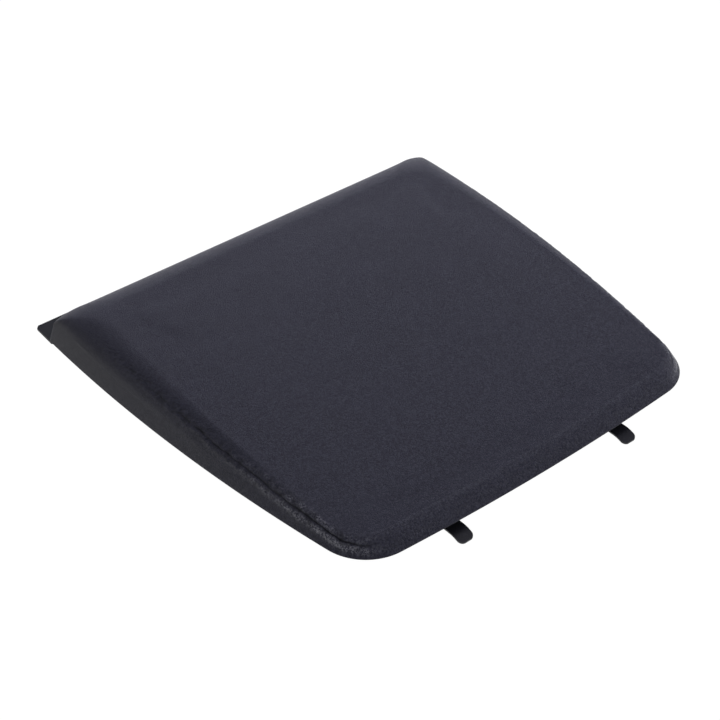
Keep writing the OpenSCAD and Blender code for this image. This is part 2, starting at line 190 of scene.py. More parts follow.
def roll_share(kind, y):
    side = mix(SHARE_SIDE_N, SHARE_SIDE_W, along(y))
    return kind[:, 0] * SHARE_NARROW + kind[:, 1] * side + kind[:, 2] * SHARE_WIDE


def roll_ring(layout, kind, angle, off=0.0):
    """One ring of the rolled edge at a roll angle in degrees, moved inwards by off."""
    phi = math.radians(angle)
    c, side, up = 1 - math.cos(phi), off * math.cos(phi), off * math.sin(phi)
    plan = ring(layout, LEAN_N + ROLL_NARROW * c + side, LEAN_N + ROLL_SIDE_N * c + side,
                LEAN_W + ROLL_SIDE_W * c + side, LEAN_W + ROLL_WIDE * c + side,
                mix(NARROW_R, TOP_R_N, angle / 90), mix(WIDE_R, TOP_R_W, angle / 90))
    y = plan[:, 1]
    z = top_h(y) * (1 - roll_share(kind, y) * (1 - math.sin(phi))) - up
    if off > 0:
        z = np.maximum(z, off + 0.15 * (1 + angle / 15))
    return np.column_stack([plan, z])


def flat_ring(layout, inset, z, r_n=NARROW_R, r_w=WIDE_R):
    plan = ring(layout, inset, inset, inset, inset, r_n, r_w)
    return np.column_stack([plan, np.full(len(plan), z)])


def fill_patch(layout, edge, height):
    """A Coons patch inside a ring, as rows from the narrow end to the wide end."""
    a, b = layout.across, layout.along
    low, right = edge[:a + 1, :2], edge[a:a + b + 1, :2]
    high = edge[a + b:2 * a + b + 1, :2][::-1]
    left = np.vstack([edge[2 * a + b:, :2], edge[:1, :2]])[::-1]
    u = np.linspace(0, 1, a + 1)[None, :, None]
    v = np.linspace(0, 1, b + 1)[:, None, None]
    plan = mix(low[None], high[None], v) + mix(left[:, None], right[:, None], u)
    plan = plan - mix(mix(low[0], low[-1], u), mix(high[0], high[-1], u), v)
    return np.dstack([plan, height(plan[..., 1])])


class Surface:
    """A stack of rings closed by a patch, with the faces that join them."""

    def __init__(self, layout, rings, patch):
        self.layout, self.rings, self.patch = layout, np.array(rings), patch

    def points(self):
        return np.vstack([self.rings.reshape(-1, 3), self.patch[1:-1, 1:-1].reshape(-1, 3)])

    def patch_index(self):
        """The vertex number of each point of the patch; its border is the last ring."""
        a, b, n = self.layout.across, self.layout.along, self.layout.count
        last = (len(self.rings) - 1) * n
        index = np.zeros((b + 1, a + 1), int)
        index[0, :] = last + np.arange(a + 1)
        index[:, -1] = last + a + np.arange(b + 1)
        index[-1, :] = last + a + b + np.arange(a, -1, -1)
        index[:, 0] = last + (2 * a + b + np.arange(b, -1, -1)) % n
        inner = len(self.rings) * n + np.arange((a - 1) * (b - 1))
        index[1:-1, 1:-1] = inner.reshape(b - 1, a - 1)
        return index

    def faces(self):
        n = self.layout.count
        start = np.arange(len(self.rings) - 1)[:, None] * n
        j, k = np.arange(n)[None, :], (np.arange(n)[None, :] + 1) % n
        walls = np.stack([start + j, start + k, start + n + k, start + n + j], -1).reshape(-1, 4)
        g = self.patch_index()
        top = np.stack([g[:-1, :-1], g[:-1, 1:], g[1:, 1:], g[1:, :-1]], -1).reshape(-1, 4)
        return np.vstack([walls, top])


FINE = Layout(40, 24, 200, 260)
COARSE = Layout(8, 6, 44, 56)
HEM = [(HEM_W, SKIN_T), (HEM_W, 0.0), (8.0, 0.0), (4.0, 0.0), (1.6, 0.0)]   # inset and height
FOLD_R = 0.8                                                 # how far the rounded fold reaches
FOLD = np.array([0, 0.25, 0.5, 0.75])
UNDER = len(HEM) + len(FOLD)                                 # rings below the wall
WALL_FINE = np.arange(0, 1, 0.1)
ROLL_FINE = np.concatenate([np.arange(0, 40, 2.5), np.arange(40, 68, 1.0), np.arange(68, 90.1, 2.2)])
WALL_SPARE = 6                                               # keeps the first rings off the lower edge
EASE = 5                                                     # rings each way in the easing
WALL_COARSE = np.array([0, 0.5])
ROLL_COARSE = np.array([0, 12, 24, 36, 48, 60, 70, 80, 90.0])


def taut(edge, rings):
    """Pulls the cover straight from its lower edge to where it first touches the roll."""
    rings = np.array(rings)
    away = rings - edge
    slope = away[..., 2] / np.hypot(away[..., 0], away[..., 1])
    touch = slope.argmax(axis=0)
    point = rings[touch, np.arange(len(touch))]
    k = np.arange(len(rings))[:, None]
    share = np.clip((k + WALL_SPARE) / (touch + WALL_SPARE), 0, 1)[..., None]
    return np.where((k < touch)[..., None], mix(edge, point, share), rings)


def eased(rings, reach):
    """A running mean over neighbouring rings, so that no line shows where wall and roll meet."""
    kernel = np.hanning(2 * reach + 3)[1:-1]
    wide = np.concatenate([rings[:1]] * reach + [rings] + [rings[-1:]] * reach)
    mean = sum(w * wide[i:i + len(rings)] for i, w in enumerate(kernel)) / kernel.sum()
    k = np.arange(len(rings))
    share = smooth(0, reach, k) * (1 - smooth(len(rings) - 1 - reach, len(rings) - 1, k))
    return mix(rings, mean, share[:, None, None])


def cover_surface(layout, wall, roll):
    """The cover's outer face, from the hem's inner edge to the middle of the top."""
    kind = kinds(layout)
    edge = flat_ring(layout, 0.0, 0.0)
    rolled = taut(edge, [roll_ring(layout, kind, a) for a in roll])
    rings = [flat_ring(layout, d, z) for d, z in HEM]
    inner = flat_ring(layout, FOLD_R, 0.0)
    up = rolled[0] - edge
    start = edge + up * FOLD_R / np.linalg.norm(up, axis=1, keepdims=True)
    rings += [mix(mix(inner, edge, t), mix(edge, start, t), t) for t in FOLD]
    rings += [mix(start, rolled[0], w) for w in wall]
    rings += list(eased(rolled, EASE) if len(rolled) > 4 * EASE else rolled)
    return Surface(layout, rings, fill_patch(layout, rings[-1], top_h))


def new_object(name, points, faces, material):
    mesh = bpy.data.meshes.new(name)
    mesh.from_pydata((points * MM + np.array(EDGE)).tolist(), [], faces.tolist())
    mesh.validate()
    mesh.update()
    mesh.polygons.foreach_set("use_smooth", np.ones(len(mesh.polygons), bool))
    obj = bpy.data.objects.new(name, mesh)
    bpy.context.scene.collection.objects.link(obj)
    if material is not None:
        mesh.materials.append(material)
    return obj


# ---------------------------------------------------------------- the cover's pressure simulation

SIM_FRAMES, SIM_QUALITY, PRESSURE = 20, 6, 4
STRETCH, SHEAR, BEND, MASS = 25, 8, 2, 0.4                   # stiffnesses, and a vertex's mass in kg
CAP_ROLL, CAP_TOP = 0.18, 0.25                               # most that a point may move, in mm
EVEN_ROLL, EVEN_TOP = 3, 11                                  # cells each way in the running mean
TOP_REACH = 34                                               # cells from the border to full movement
LEVEL_START, LEVEL_END = 1.35, 1.95                          # roll levels over which movement fades


def simulate(surface):
    """How the coarse cover's points move when the foam presses it outwards, as rings and a patch."""
    points, faces = surface.points(), surface.faces()
    obj = new_object("cover_sim", points, faces, None)
    held = UNDER + len(WALL_COARSE) + 1
    group = obj.vertex_groups.new(name="held")
    n = surface.layout.count
    group.add(list(range(held * n)), 1.0, "REPLACE")
    cloth = obj.modifiers.new("cloth", "CLOTH")
    s = cloth.settings
    s.quality, s.mass = SIM_QUALITY, MASS
    s.tension_stiffness = s.compression_stiffness = STRETCH
    s.shear_stiffness, s.bending_stiffness = SHEAR, BEND
    s.vertex_group_mass = "held"
    s.use_pressure = True
    s.uniform_pressure_force = PRESSURE
    s.effector_weights.gravity = 0
    cloth.point_cache.frame_start, cloth.point_cache.frame_end = 1, SIM_FRAMES
    scene = bpy.context.scene
    for f in range(1, SIM_FRAMES + 1):
        scene.frame_set(f)
    moved = obj.evaluated_get(bpy.context.evaluated_depsgraph_get()).data
    co = np.zeros(len(points) * 3)
    moved.vertices.foreach_get("co", co)
    shift = (co.reshape(-1, 3) - np.array(EDGE)) / MM - points
    scene.frame_set(1)
    mesh = obj.data
    bpy.data.objects.remove(obj)
    bpy.data.meshes.remove(mesh)
    rings = shift[:len(surface.rings) * n].reshape(len(surface.rings), n, 3)
    return rings, shift[surface.patch_index()]


def capped(shift, cap):
    length = np.linalg.norm(shift, axis=-1, keepdims=True)
    return shift * (cap * np.tanh(length / cap) / np.maximum(length, 1e-9))


def resample(grid, rows, cols):
    """Linear interpolation of a grid at fractional rows and columns."""
    r0 = np.clip(np.floor(rows).astype(int), 0, grid.shape[0] - 2)
    c0 = np.clip(np.floor(cols).astype(int), 0, grid.shape[1] - 2)
    r, c = (rows - r0)[:, None, None], (cols - c0)[None, :, None]
    top = mix(grid[r0][:, c0], grid[r0][:, c0 + 1], c)
    return mix(top, mix(grid[r0 + 1][:, c0], grid[r0 + 1][:, c0 + 1], c), r)


def softened(grid, width):
    """A grid after a running mean of that many cells each way; its border is repeated outwards."""
    kernel = np.hanning(2 * width + 3)[1:-1]
    kernel /= kernel.sum()
    for axis in (0, 1):
        pad = [(0, 0)] * 3
        pad[axis] = (width, width)
        wide = np.pad(grid, pad, mode="edge")
        size = grid.shape[axis]
        grid = sum(k * wide.take(range(i, i + size), axis=axis) for i, k in enumerate(kernel))
    return grid


def inflate(surface, coarse, rings, patch):
    """Carries the simulated shift over to the fine surface."""
    under = np.arange(UNDER) - UNDER
    levels = np.concatenate([under, WALL_FINE, 1 + ROLL_FINE / 90])
    coarse_levels = np.concatenate([under, WALL_COARSE, 1 + ROLL_COARSE / 90])
    rows = np.interp(levels, coarse_levels, np.arange(len(coarse_levels)))
    cols = np.interp(np.arange(surface.layout.count), surface.layout.breaks, coarse.layout.breaks)
    wrapped = np.concatenate([rings, rings[:, :1]], axis=1)
    ring_shift = capped(softened(resample(wrapped, rows, cols), EVEN_ROLL), CAP_ROLL)
    a, b = surface.layout.across, surface.layout.along
    side_marks = np.array(surface.layout.breaks[3:7]) - surface.layout.breaks[3]
    coarse_marks = np.array(coarse.layout.breaks[3:7]) - coarse.layout.breaks[3]
    v = np.interp(np.arange(b + 1), side_marks, coarse_marks)
    u = np.interp(np.arange(a + 1), surface.layout.breaks[:4], coarse.layout.breaks[:4])
    patch_shift = capped(softened(resample(patch, v, u), EVEN_TOP), CAP_TOP)
    cells_in = np.minimum.outer(np.minimum(np.arange(b + 1), b - np.arange(b + 1)),
                                np.minimum(np.arange(a + 1), a - np.arange(a + 1)))
    fade = 1 - smooth(LEVEL_START, LEVEL_END, levels)[:, None, None]
    surface.rings = surface.rings + ring_shift * fade
    surface.patch = surface.patch + patch_shift * smooth(0, TOP_REACH, cells_in)[..., None]


# ---------------------------------------------------------------- creases and puckers


def noise(u, v, seed):
    """Smooth value noise from -1 to 1, one cell per unit."""
    rng = np.random.default_rng(seed)
    lattice = rng.uniform(-1, 1, (64, 64))
    i, j = np.floor(u).astype(int), np.floor(v).astype(int)
    fu, fv = u - i, v - j
    fu, fv = fu * fu * (3 - 2 * fu), fv * fv * (3 - 2 * fv)

    def at(di, dj):
        return lattice[(i + di) % 64, (j + dj) % 64]

    return mix(mix(at(0, 0), at(1, 0), fu), mix(at(0, 1), at(1, 1), fu), fv)


def ridged(u, v, seed):
    """Noise with sharp crests, from 0 to 1."""
    return 1 - np.abs(noise(u, v, seed))


CREASE_NARROW, CREASE_WIDE = 45.0, 51.0                      # roll angle of the crease, in degrees
CREASE_FADE, PUCKER_FADE = (80, 172), (140, 185)             # where they die away, in mm of length
GROOVE_D, GROOVE_W, GROOVE_BREAKS = 0.55, 0.42, 0.9          # depth, half width, share that breaks up
RIDGE_H, RIDGE_AT, RIDGE_W = 0.32, 2.5, 1.5                  # the ridges beside it, in mm
INNER_RIDGE_H, INNER_RIDGE_AT, INNER_RIDGE_W = 0.8, 0.9, 1.1     # the inner ridge, as shares
PUCKER_H, PUCKER_REACH, PUCKER_MEAN = 0.32, 4.2, 0.62
SHINE_AT, SHINE_REACH = 22, 16                               # the corner's glossy spot, which also gets painted highlight, in mm of length
WALL_TO_ROLL = 20                                            # rings over which the wall's painted shade fades


def rolled_length(rings):
    """How far round the profile each point lies from the hem's inner edge, in mm."""
    steps = np.linalg.norm(np.diff(rings, axis=0), axis=2)
    return np.concatenate([np.zeros((1, rings.shape[1])), np.cumsum(steps, axis=0)])


def normals(rings):
    du = np.roll(rings, -1, axis=1) - np.roll(rings, 1, axis=1)
    normal = np.cross(du, np.gradient(rings, axis=0))
    return normal / np.maximum(np.linalg.norm(normal, axis=2, keepdims=True), 1e-9)


def crease(surface):
    """Pulls the crease into the sides' rolled edge. Returns each ring point's scuffing and painted
    highlight, crease depth and painted crease shade, glossy spot and share of painted side-wall shade."""
    layout, rings = surface.layout, surface.rings
    kind = kinds(layout)
    first = UNDER + len(WALL_FINE)
    number = np.arange(len(rings))
    arc = rolled_length(rings)
    top = rings[-1]
    round_mm = np.concatenate([[0], np.cumsum(np.linalg.norm(np.diff(top, axis=0), axis=1))])
    y = top[:, 1]
    angle = mix(CREASE_NARROW, CREASE_WIDE, along(y))
    line = np.array([np.interp(angle[i], ROLL_FINE, arc[first:, i]) for i in range(layout.count)])
    zero = 0 * round_mm
    wander = 0.4 * noise(round_mm / 6.0, zero, 5) + 0.28 * noise(round_mm / 1.9, zero, 6)
    s = arc - line[None] + wander[None]                      # across the crease, in mm
    a = np.broadcast_to(round_mm[None], s.shape)             # along it
    side = 1 - smooth(0.3, 0.9, kind[:, 0])
    depth = side * (1 - smooth(*CREASE_FADE, y)) * (1 - 0.9 * kind[:, 2])
    loose = side * (1 - smooth(*PUCKER_FADE, y)) * (1 - kind[:, 2])
    waver = 0.75 + 0.25 * noise(a / 6.0, s / 9.0, 11)
    broken = smooth(45, 110, y)[None] * (0.5 + 0.5 * noise(a / 2.6, s / 3.0, 12))
    groove_and_shade = depth[None] * np.exp(-(s / GROOVE_W) ** 2) * (1 - GROOVE_BREAKS * broken)
    outer = np.exp(-((s + RIDGE_AT) / RIDGE_W) ** 2)
    inner = np.exp(-((s - RIDGE_AT * INNER_RIDGE_AT) / (RIDGE_W * INNER_RIDGE_W)) ** 2)
    ridges = depth[None] * RIDGE_H * (outer + INNER_RIDGE_H * inner)
    window = np.exp(-(s / PUCKER_REACH) ** 2) * loose[None]
    pucker = ridged(a / 2.3 + s / 5.0, s / 3.1 - a / 9.0, 21) - PUCKER_MEAN
    pucker += 0.6 * (ridged(a / 1.3 - s / 2.4, s / 1.9, 22) - PUCKER_MEAN)
    lift = (ridges - GROOVE_D * groove_and_shade) * waver + PUCKER_H * window * pucker
    fade = smooth(first - 4, first + 2, number) * (1 - smooth(number[-9], number[-1], number))
    surface.rings = rings + (lift * fade[:, None])[..., None] * normals(rings)
    shine = depth[None] * outer * (np.exp(-((y[None] - SHINE_AT) / SHINE_REACH) ** 2)
                                   + 0.7 * kind[:, 0])
    # Scuffing and painted highlight: the crests beside the crease, the narrow end's roll and the corner's
    # glossy spot are painted lighter.
    scuff_and_highlight = depth[None] * (outer + 0.85 * inner) * (0.6 + 0.4 * noise(a / 3.0, s / 3.0, 31))
    scuff_and_highlight = scuff_and_highlight * mix(1.0, 0.12, smooth(35, 90, y))[None] + 0.14 * kind[None, :, 0] + 0.5 * shine
    # Painted shade: the hollows between the puckers are darkened as well as the crease.
    groove_and_shade = groove_and_shade + 0.8 * window * np.clip(0.1 - 2 * pucker, 0, 1)
    # Painted shade: the side wall's share, larger toward the wide end, darkens the leatherette's colour.
    wall = np.interp(number, [UNDER, first, first + WALL_TO_ROLL], [1.0, 1.0, 0.0])
    return scuff_and_highlight, np.clip(groove_and_shade, 0, 1), np.clip(shine, 0, 1), np.outer(wall, mix(0.1, 1, along(y)))


def put_attribute(obj, name, rings, patch_count):
    values = np.concatenate([rings.ravel(), np.zeros(patch_count)]).astype(np.float32)
    attribute = obj.data.attributes.new(name, "FLOAT", "POINT")
    attribute.data.foreach_set("value", values)


# ---------------------------------------------------------------- materials


MIX_A, MIX_B, MIX_RESULT = 6, 7, 2                           # a Mix node's colour sockets


def connect(tree, source, target):
    """Links a socket to an input, or sets the input to a value."""
    if isinstance(source, bpy.types.NodeSocket):
        tree.links.new(source, target)
    else:
        target.default_value = source


def colour_ramp(tree, value, stops):
    """Colours or grey levels by position, each as (position, level)."""
    node = tree.nodes.new("ShaderNodeValToRGB")
    elements = node.color_ramp.elements
    while len(elements) < len(stops):
        elements.new(0.5)
    for element, (place, level) in zip(elements, stops):
        element.position = place
        rgb = level if isinstance(level, tuple) else (level,) * 3
        element.color = (*rgb, 1)
    connect(tree, value, node.inputs[0])
    return node.outputs[0]


class Nodes:
    """A short way to write a node tree."""

    def __init__(self, name):
        self.material = bpy.data.materials.new(name)
        self.material.use_nodes = True
        self.tree = self.material.node_tree
        self.shader = self.tree.nodes["Principled BSDF"]
        coordinates = self.tree.nodes.new("ShaderNodeTexCoord")
        scale = self.tree.nodes.new("ShaderNodeVectorMath")
        scale.operation = "SCALE"
        scale.inputs["Scale"].default_value = 1 / MM
        self.tree.links.new(coordinates.outputs["Object"], scale.inputs[0])
        self.mm = scale.outputs[0]                           # object coordinates, in mm

    def link(self, source, target):
        connect(self.tree, source, target)

    def math(self, operation, a, b=0.0, c=0.0, clamp=False):
        node = self.tree.nodes.new("ShaderNodeMath")
        node.operation = operation
        node.use_clamp = clamp
        self.link(a, node.inputs[0])
        self.link(b, node.inputs[1])
        self.link(c, node.inputs[2])
        return node.outputs[0]

    def noise(self, size_mm, detail=2.0, roughness=0.5, vector=None):
        node = self.tree.nodes.new("ShaderNodeTexNoise")
        node.inputs["Scale"].default_value = 1 / size_mm
        node.inputs["Detail"].default_value = detail
        node.inputs["Roughness"].default_value = roughness
        self.tree.links.new(vector or self.mm, node.inputs["Vector"])
        return node.outputs["Fac"]

    def cells(self, size_mm, feature="F1", vector=None, output="Distance"):
        node = self.tree.nodes.new("ShaderNodeTexVoronoi")
        node.feature = feature
        node.inputs["Scale"].default_value = 1 / size_mm
        self.tree.links.new(vector or self.mm, node.inputs["Vector"])
        return node.outputs[output]

    def warp(self, size_mm, amount_mm):
        """Coordinates in mm, shifted by noise, so that a pattern isn't regular."""
        node = self.tree.nodes.new("ShaderNodeTexNoise")
        node.inputs["Scale"].default_value = 1 / size_mm
        self.tree.links.new(self.mm, node.inputs["Vector"])
        scale = self.tree.nodes.new("ShaderNodeVectorMath")
        scale.operation = "MULTIPLY_ADD"
        scale.inputs[1].default_value = (amount_mm,) * 3
        self.tree.links.new(node.outputs["Color"], scale.inputs[0])
        self.tree.links.new(self.mm, scale.inputs[2])
        return scale.outputs[0]

    def ramp(self, value, stops):
        return colour_ramp(self.tree, value, stops)

    def blend(self, share, a, b):
        node = self.tree.nodes.new("ShaderNodeMix")
        node.data_type = "RGBA"
        self.link(share, node.inputs["Factor"])
        for key, value in ((MIX_A, a), (MIX_B, b)):
            source = (*value, 1) if isinstance(value, tuple) else value
            self.link(source, node.inputs[key])
        return node.outputs[MIX_RESULT]

    def axis(self, name):
        node = self.tree.nodes.new("ShaderNodeSeparateXYZ")
        self.tree.links.new(self.mm, node.inputs[0])
        return node.outputs[name]

    def attribute(self, name):
        node = self.tree.nodes.new("ShaderNodeAttribute")
        node.attribute_name = name
        return node.outputs["Fac"]

    def bump(self, height, depth_mm, strength=1.0):
        node = self.tree.nodes.new("ShaderNodeBump")
        node.inputs["Distance"].default_value = depth_mm * MM
        node.inputs["Strength"].default_value = strength
        self.link(height, node.inputs["Height"])
        self.tree.links.new(node.outputs[0], self.shader.inputs["Normal"])

    def set(self, **values):
        for name, value in values.items():
            self.link(value, self.shader.inputs[name.replace("_", " ")])
        return self.material


def leatherette():
    """Near-black grained leatherette: pebbled cells with painted shade between them and painted highlight
    specks, fine pores, scuffed crests with painted highlight, and creases and side wall darkened by
    painted shade.
    """
    m = Nodes("leatherette")
    warped = m.warp(1.4, 0.35)
    tone = m.cells(0.62, "F1", warped, "Color")
    pebble = m.cells(0.62, "DISTANCE_TO_EDGE", warped)
    raised = m.ramp(pebble, [(0.0, 0.0), (0.16, 0.75), (0.4, 1.0)])
    fine = m.noise(0.24, 2.0, 0.6)
    m.bump(m.math("MULTIPLY_ADD", fine, 0.35, raised), 0.11, 1.0)
    cloud = m.noise(26.0, 3.0, 0.55)
    deep, light = (0.0120, 0.0120, 0.0230), (0.0150, 0.0150, 0.0280)
    colour = m.blend(m.ramp(cloud, [(0.35, 0.0), (0.65, 1.0)]), deep, light)
    # Painted shade in the hollows between the grain's pebbles.
    grain_valley_shade = m.ramp(pebble, [(0.0, 0.55), (0.14, 0.0)])
    colour = m.blend(grain_valley_shade, colour, (0.008, 0.008, 0.011))
    # Painted highlight: lighter grain cells stand in for glints on the grain, strongest at the narrow end
    # and fading toward the wide end.
    narrow_end_glint = m.math("ADD", m.math("MULTIPLY", m.axis("Y"), -0.0042), 0.55, clamp=True)
    pale = m.math("MULTIPLY", m.ramp(tone, [(0.4, 0.0), (0.8, 1.0)]), narrow_end_glint)
    colour = m.blend(pale, colour, (0.030, 0.030, 0.047))
    speck = m.ramp(m.noise(0.9, 3.0, 0.7), [(0.42, 0.0), (0.62, 1.0)])
    # Scuffing and painted highlight: the crease's crests, the narrow end's roll and the corner are painted
    # light grey.
    scuff_and_highlight_share = m.math("MULTIPLY", m.attribute("scuff_and_highlight"), speck, clamp=True)
    colour = m.blend(m.math("MULTIPLY", scuff_and_highlight_share, 0.95), colour, (0.24, 0.24, 0.255))
    # Painted shade: the side wall is painted darker and less blue than the top; below, it also gets less
    # specular.
    colour = m.blend(m.math("MULTIPLY", m.attribute("wall"), 0.5), colour, (0.011, 0.0105, 0.011))
    # Painted shade: the crease and the hollows between the puckers are painted near-black.
    dark = m.math("MULTIPLY", m.attribute("groove_and_shade"), 0.7, clamp=True)
    colour = m.blend(dark, colour, (0.004, 0.004, 0.005))
    rough = m.math("MULTIPLY_ADD", m.noise(3.0, 2.0), 0.1, 0.43)
    gloss = m.math("MULTIPLY", m.attribute("shine"), m.math("MULTIPLY", speck, 0.32))
    gloss = m.math("ADD", gloss, m.math("MULTIPLY", pale, 0.08))
    rough = m.math("SUBTRACT", rough, gloss, clamp=True)
    level = m.math("SUBTRACT", 0.4, m.math("MULTIPLY", m.attribute("wall"), 0.19))
    return m.set(Base_Color=colour, Roughness=rough, IOR=1.4, Specular_IOR_Level=level)


def plastic(name, dark, light, roughness, shine=0.5):
    """Moulded plastic with a spark-eroded texture and faint flow shading."""
    m = Nodes(name)
    flow = m.noise(38.0, 2.0)
    colour = m.blend(m.ramp(flow, [(0.35, 0.0), (0.65, 1.0)]), dark, light)
    m.bump(m.noise(0.35, 3.0, 0.65), 0.02, 0.6)
    rough = m.ramp(m.noise(5.0, 3.0), [(0.3, roughness - 0.04), (0.7, roughness + 0.05)])
    return m.set(Base_Color=colour, Roughness=rough, Specular_IOR_Level=shine)


def coated_steel():
    """Matte black coating on spring steel, rubbed a little on its high spots."""
    m = Nodes("coated_spring_steel")
    rub = m.ramp(m.noise(2.2, 4.0, 0.7), [(0.56, 0.0), (0.74, 1.0)])
    colour = m.blend(m.math("MULTIPLY", rub, 0.3), (0.015, 0.015, 0.018), (0.05, 0.05, 0.055))
    m.bump(m.noise(0.3, 2.0), 0.012, 0.5)
    rough = m.ramp(rub, [(0.0, 0.5), (1.0, 0.38)])
    return m.set(Base_Color=colour, Roughness=rough, Specular_IOR_Level=0.42)


def metal(name, colour, tarnish, roughness):
    """Bare or plated metal with fine scratches and slightly uneven plating."""
    m = Nodes(name)
    stain = m.ramp(m.noise(1.8, 4.0, 0.6), [(0.4, 0.0), (0.7, 1.0)])
    shade = m.blend(m.math("MULTIPLY", stain, 0.6), colour, tarnish)
    m.bump(m.noise(0.2, 3.0, 0.7), 0.006, 0.5)
    rough = m.ramp(stain, [(0.0, roughness), (1.0, roughness + 0.15)])
    return m.set(Base_Color=shade, Roughness=rough, Metallic=1.0)


def rubber():
    m = Nodes("foot_rubber")
    bloom = m.ramp(m.noise(4.0, 4.0, 0.6), [(0.45, 0.0), (0.75, 1.0)])
    colour = m.blend(m.math("MULTIPLY", bloom, 0.5), (0.010, 0.010, 0.010), (0.035, 0.035, 0.034))
    m.bump(m.noise(0.4, 3.0), 0.02, 0.5)
    return m.set(Base_Color=colour, Roughness=0.72)


def felt():
    """Needled felt: short tangled fibres over a soft uneven body."""
    m = Nodes("felt")
    fibre = m.noise(0.22, 6.0, 0.8, m.warp(0.8, 1.2))
    clump = m.noise(2.4, 3.0, 0.6)
    colour = m.blend(m.ramp(fibre, [(0.4, 0.0), (0.62, 1.0)]), (0.026, 0.026, 0.029),
                     (0.085, 0.085, 0.09))
    colour = m.blend(m.ramp(clump, [(0.4, 0.0), (0.7, 0.35)]), colour, (0.05, 0.05, 0.052))
    m.bump(fibre, 0.12, 0.9)
    return m.set(Base_Color=colour, Roughness=0.95, Sheen_Weight=0.25, Specular_IOR_Level=0.15)


def foam():
    """Moulded flexible foam: open cells, with painted shade darkening the pores."""
    m = Nodes("foam")
    pores = m.cells(0.9)
    colour = m.blend(m.ramp(pores, [(0.1, 0.0), (0.6, 1.0)]), (0.42, 0.36, 0.24), (0.66, 0.59, 0.43))
    m.bump(pores, 0.3, 0.7)
    return m.set(Base_Color=colour, Roughness=0.92, Specular_IOR_Level=0.2)


# ---------------------------------------------------------------- soft pieces


def make_cover(material):
    fine = cover_surface(FINE, WALL_FINE, ROLL_FINE)
    coarse = cover_surface(COARSE, WALL_COARSE, ROLL_COARSE)
    inflate(fine, coarse, *simulate(coarse))
    scuff_and_highlight, groove_and_shade, shine, wall = crease(fine)
    obj = new_object("leatherette_cover", fine.points(), fine.faces(), material)
    inner = (FINE.across - 1) * (FINE.along - 1)
    # These attributes carry scuffing with painted highlight, painted crease shade, the glossy spot and
    # painted side-wall shade to the leatherette.
    for name, values in (("scuff_and_highlight", scuff_and_highlight), ("groove_and_shade", groove_and_shade), ("shine", shine), ("wall", wall)):
        put_attribute(obj, name, values, inner)
    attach(obj, "pad")
    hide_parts("cover_skin")
    return obj


def make_foam(material):
    """The foam between the cover and the carrier's dome; it is closed below by the dome's shape."""
    kind = kinds(COARSE)
    gap, foam_t = 0.15, 8                                    # clearance to the cover; foam at the wide end
    rim_top, dome_in, dome_start = 3.4, 16, 45.0             # the carrier's rim, and where its dome rises
    slope = (WIDE_H - foam_t - rim_top) / (PAD_LEN - dome_in - dome_start)

    def dome_z(y):
        return np.maximum(rim_top + slope * (y - dome_start), rim_top + gap)

    dome = flat_ring(COARSE, dome_in, rim_top, 12, 8)
    dome_top = np.column_stack([dome[:, :2], dome_z(dome[:, 1])])
    foot = ring(COARSE, 8, 6.5, 6.5, 7, 15, 6)
    rings = [dome_top, dome] + [np.column_stack([foot, np.full(COARSE.count, z)])
                                for z in (rim_top, SKIN_T + gap)]
    rings += [roll_ring(COARSE, kind, a, SKIN_T + gap) for a in ROLL_COARSE]
    body = Surface(COARSE, rings, fill_patch(COARSE, rings[-1], lambda y: top_h(y) - SKIN_T - gap))
    under = fill_patch(COARSE, dome_top, dome_z)
    points, faces = body.points(), body.faces()
    index = np.zeros(under.shape[:2], int)
    shell = Surface(COARSE, rings[:1], under).patch_index()
    index[:] = np.where(shell < COARSE.count, shell, shell - COARSE.count + len(points))
    lower = np.stack([index[:-1, :-1], index[1:, :-1], index[1:, 1:], index[:-1, 1:]], -1)
    points = np.vstack([points, under[1:-1, 1:-1].reshape(-1, 3)])
    obj = new_object("foam_core", points, np.vstack([faces, lower.reshape(-1, 4)]), material)
    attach(obj, "pad")
    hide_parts("foam_pad")


def make_felt(node, material, seed):
    """A felt strip with rounded, slightly ragged edges inside its CAD node's box."""
    low, high = (np.array(v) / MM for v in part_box(node))
    step, radius = 0.8, 0.45
    size = high - low
    counts = np.maximum(2, np.round(size / step).astype(int))
    grid = [np.linspace(low[i], high[i], counts[i] + 1) for i in range(3)]
    points, faces, index = [], [], {}

    def vertex(key):
        if key not in index:
            index[key] = len(points)
            points.append([grid[i][key[i]] for i in range(3)])
        return index[key]

    for axis in range(3):
        u, v = (axis + 1) % 3, (axis + 2) % 3
        for side in (0, counts[axis]):
            for i in range(counts[u]):
                for j in range(counts[v]):
                    quad = []
                    for du, dv in ((0, 0), (1, 0), (1, 1), (0, 1)):
                        key = [0, 0, 0]
                        key[axis], key[u], key[v] = side, i + du, j + dv
                        quad.append(vertex(tuple(key)))
                    faces.append(quad if side else quad[::-1])
    p = np.array(points)
    core = np.clip(p, low + radius, high - radius)
    away = p - core
    away *= radius / np.maximum(np.linalg.norm(away, axis=1, keepdims=True), 1e-9)
    p = core + away
    rough = noise(p[:, 0] / 1.1, p[:, 1] / 1.1 + p[:, 2], seed)
    p[:, 2] -= 0.05 * (rough + 1) * (p[:, 2] > core[:, 2])
    p[:, 2] += 0.05 * (rough + 1) * (p[:, 2] < core[:, 2])
    p[:, 1] -= 0.12 * (rough + 1) / 2 * np.sign(away[:, 1])
    p -= np.array(EDGE) / MM
    obj = new_object(node.replace("_strip", "_tape"), p, np.array(faces), material)
    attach(obj, "pad")
    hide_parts(node)


# ---------------------------------------------------------------- the object


def dress(names, material):
    """Gives CAD nodes a finished material."""
    for name in names:
        NODES[name].data.materials.clear()
        NODES[name].data.materials.append(material)


make_cover(leatherette())
make_foam(foam())
felt_material = felt()
make_felt("flange_felt_strip", felt_material, 41)
make_felt("front_felt_strip", felt_material, 42)

